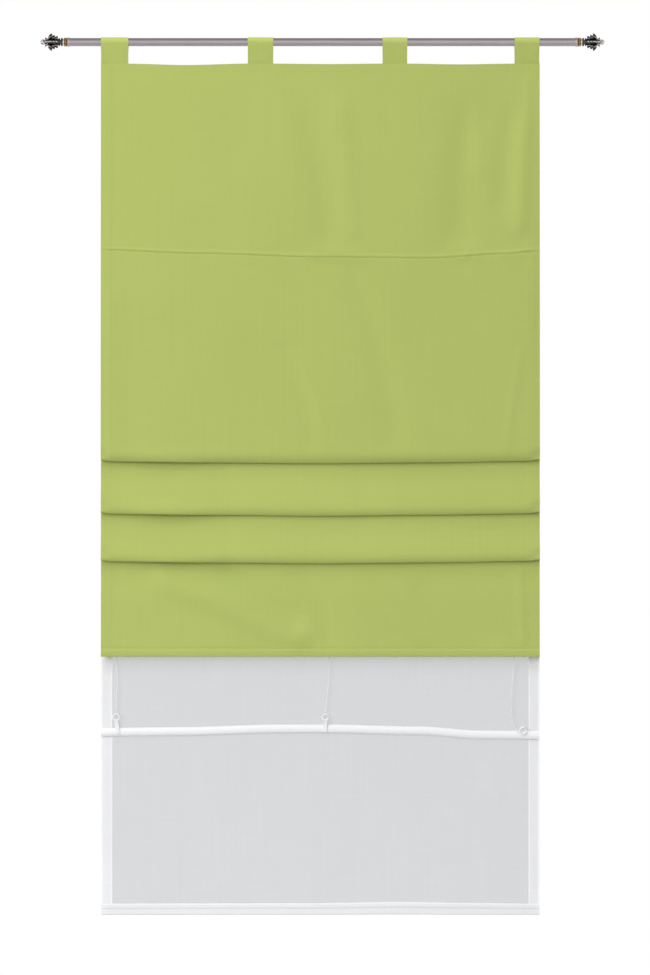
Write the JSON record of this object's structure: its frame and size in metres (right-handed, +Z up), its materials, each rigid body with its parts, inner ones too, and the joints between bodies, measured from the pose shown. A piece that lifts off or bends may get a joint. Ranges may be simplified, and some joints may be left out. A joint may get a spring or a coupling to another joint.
{
  "type": "roman blind",
  "caption": "Roman blind on a curtain rod with leaf finials: a green front cloth with sewn tucks, and a longer white sheer cloth behind it that cords and rings draw up.",
  "frame": {"origin": "on the rod's axis, at the middle of the rod", "axes": "+X to the right along the rod seen from the room, +Y to the window, +Z up; the front faces -Y"},
  "size_m": [1.033, 0.0343, 1.6153],
  "materials": {
    "rod_metal": "satin nickel",
    "collar_metal": "satin nickel",
    "gold": "satin gilt",
    "pewter": "antique pewter, polished on the high edges",
    "front_cloth": "plain weave, matt",
    "sheer_cloth": "sheer voile",
    "sheer_hem": "sheer voile in several layers",
    "white_tape": "woven tape",
    "white_cord": "braided cord",
    "white_plastic": "moulded, semi-gloss"
  },
  "bodies": {
    "rod": {"curtain_rod": "rod_metal", "end_collar_left": "collar_metal", "end_collar_right": "collar_metal", "gold_band_left": "gold", "gold_band_right": "gold", "finial_left": "pewter", "finial_right": "pewter"},
    "blind": {"tab_loop_1": "front_cloth", "tab_loop_2": "front_cloth", "tab_loop_3": "front_cloth", "tab_loop_4": "front_cloth", "front_panel": "front_cloth", "front_rod_1": "white_plastic", "front_rod_2": "white_plastic", "front_rod_3": "white_plastic", "front_rod_4": "white_plastic", "front_bottom_bar": "white_plastic", "sheer_upper": "sheer_cloth", "header_tapes": "white_tape", "header_rings": "white_plastic", "header_knots": "white_cord", "lift_cord_left": "white_cord", "lift_cord_middle": "white_cord", "lift_cord_right": "white_cord"},
    "skirt": {"sheer_skirt": "sheer_cloth", "sheer_pocket_1": "sheer_hem", "sheer_rod_1": "white_plastic", "sheer_bottom_bar": "white_plastic", "ring_tapes_1": "white_tape", "rings_1": "white_plastic", "cord_knots": "white_cord"},
    "pocket_2": {"sheer_lower": "sheer_cloth", "sheer_pocket_2": "sheer_hem", "sheer_rod_2": "white_plastic", "ring_tapes_2": "white_tape", "rings_2": "white_plastic"},
    "pocket_3": {"sheer_middle": "sheer_cloth", "sheer_pocket_3": "sheer_hem", "sheer_rod_3": "white_plastic", "ring_tapes_3": "white_tape", "rings_3": "white_plastic"}
  },
  "joints": [
    {"name": "blind_slide", "type": "slide", "parent": "rod", "child": "blind", "axis": [1, 0, 0], "range_m": [-0.025, 0.033]},
    {"name": "sheer_lift", "type": "slide", "parent": "blind", "child": "skirt", "axis": [0, 0, 1], "range_m": [0, 0.93], "deforming": ["sheer_lower", "lift_cord_left", "lift_cord_middle", "lift_cord_right"]},
    {"name": "pocket_2_rise", "type": "slide", "parent": "blind", "child": "pocket_2", "axis": [0, 0, 1], "range_m": [0, 0.62], "deforming": ["sheer_middle"]},
    {"name": "pocket_3_rise", "type": "slide", "parent": "blind", "child": "pocket_3", "axis": [0, 0, 1], "range_m": [0, 0.31], "deforming": ["sheer_upper"]}
  ],
  "couplings": [
    {"joint": "pocket_2_rise", "follows": "sheer_lift", "ratio": 0.66667},
    {"joint": "pocket_3_rise", "follows": "sheer_lift", "ratio": 0.33333}
  ]
}
